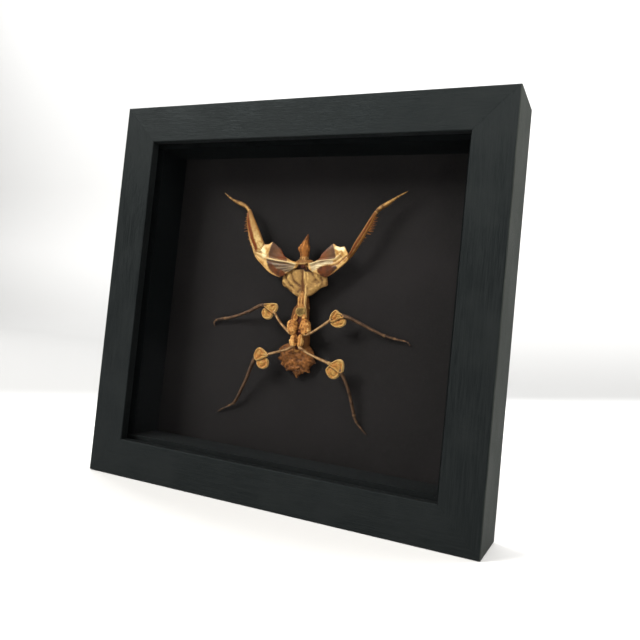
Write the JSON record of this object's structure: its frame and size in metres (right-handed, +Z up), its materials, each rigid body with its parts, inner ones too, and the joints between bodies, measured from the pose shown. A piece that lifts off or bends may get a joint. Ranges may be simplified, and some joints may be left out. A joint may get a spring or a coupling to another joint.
{
  "type": "framed flower mantis specimen",
  "caption": "Dried flower mantis with raised grasping forelegs, mounted belly outwards on charcoal card in a deep black box frame behind glass.",
  "frame": {"origin": "middle of the frame's foot: centre of the outline in width and depth, at the underside of the bottom rail", "axes": "+X to the viewer's right across the frame, +Y from the glass to the back, +Z up"},
  "size_m": [0.2, 0.0352, 0.191],
  "materials": {
    "frame_black": "black-painted wood with fine open grain, satin",
    "clear_glass": "clear, polished",
    "lining_black": "flat black paint",
    "charcoal_card": "matt charcoal card",
    "dried_mantis": "dried insect cuticle, cream, tan and brown, satin",
    "backing_brown": "brown hardboard",
    "plated_steel": "zinc-plated"
  },
  "bodies": {
    "root": {"frame_rail_top": "frame_black", "frame_rail_bottom": "frame_black", "frame_rail_left": "frame_black", "frame_rail_right": "frame_black", "glass_pane": "clear_glass", "lining_top": "lining_black", "lining_bottom": "lining_black", "lining_left": "lining_black", "lining_right": "lining_black", "mount_board": "charcoal_card", "mantis": "dried_mantis", "backing_board": "backing_brown", "backing_tab_top_left": "plated_steel", "backing_tab_top_right": "plated_steel", "backing_tab_bottom_left": "plated_steel", "backing_tab_bottom_right": "plated_steel", "backing_tab_left": "plated_steel", "backing_tab_right": "plated_steel", "hanger": "plated_steel", "hanger_nail_left": "plated_steel", "hanger_nail_right": "plated_steel"}
  },
  "joints": []
}
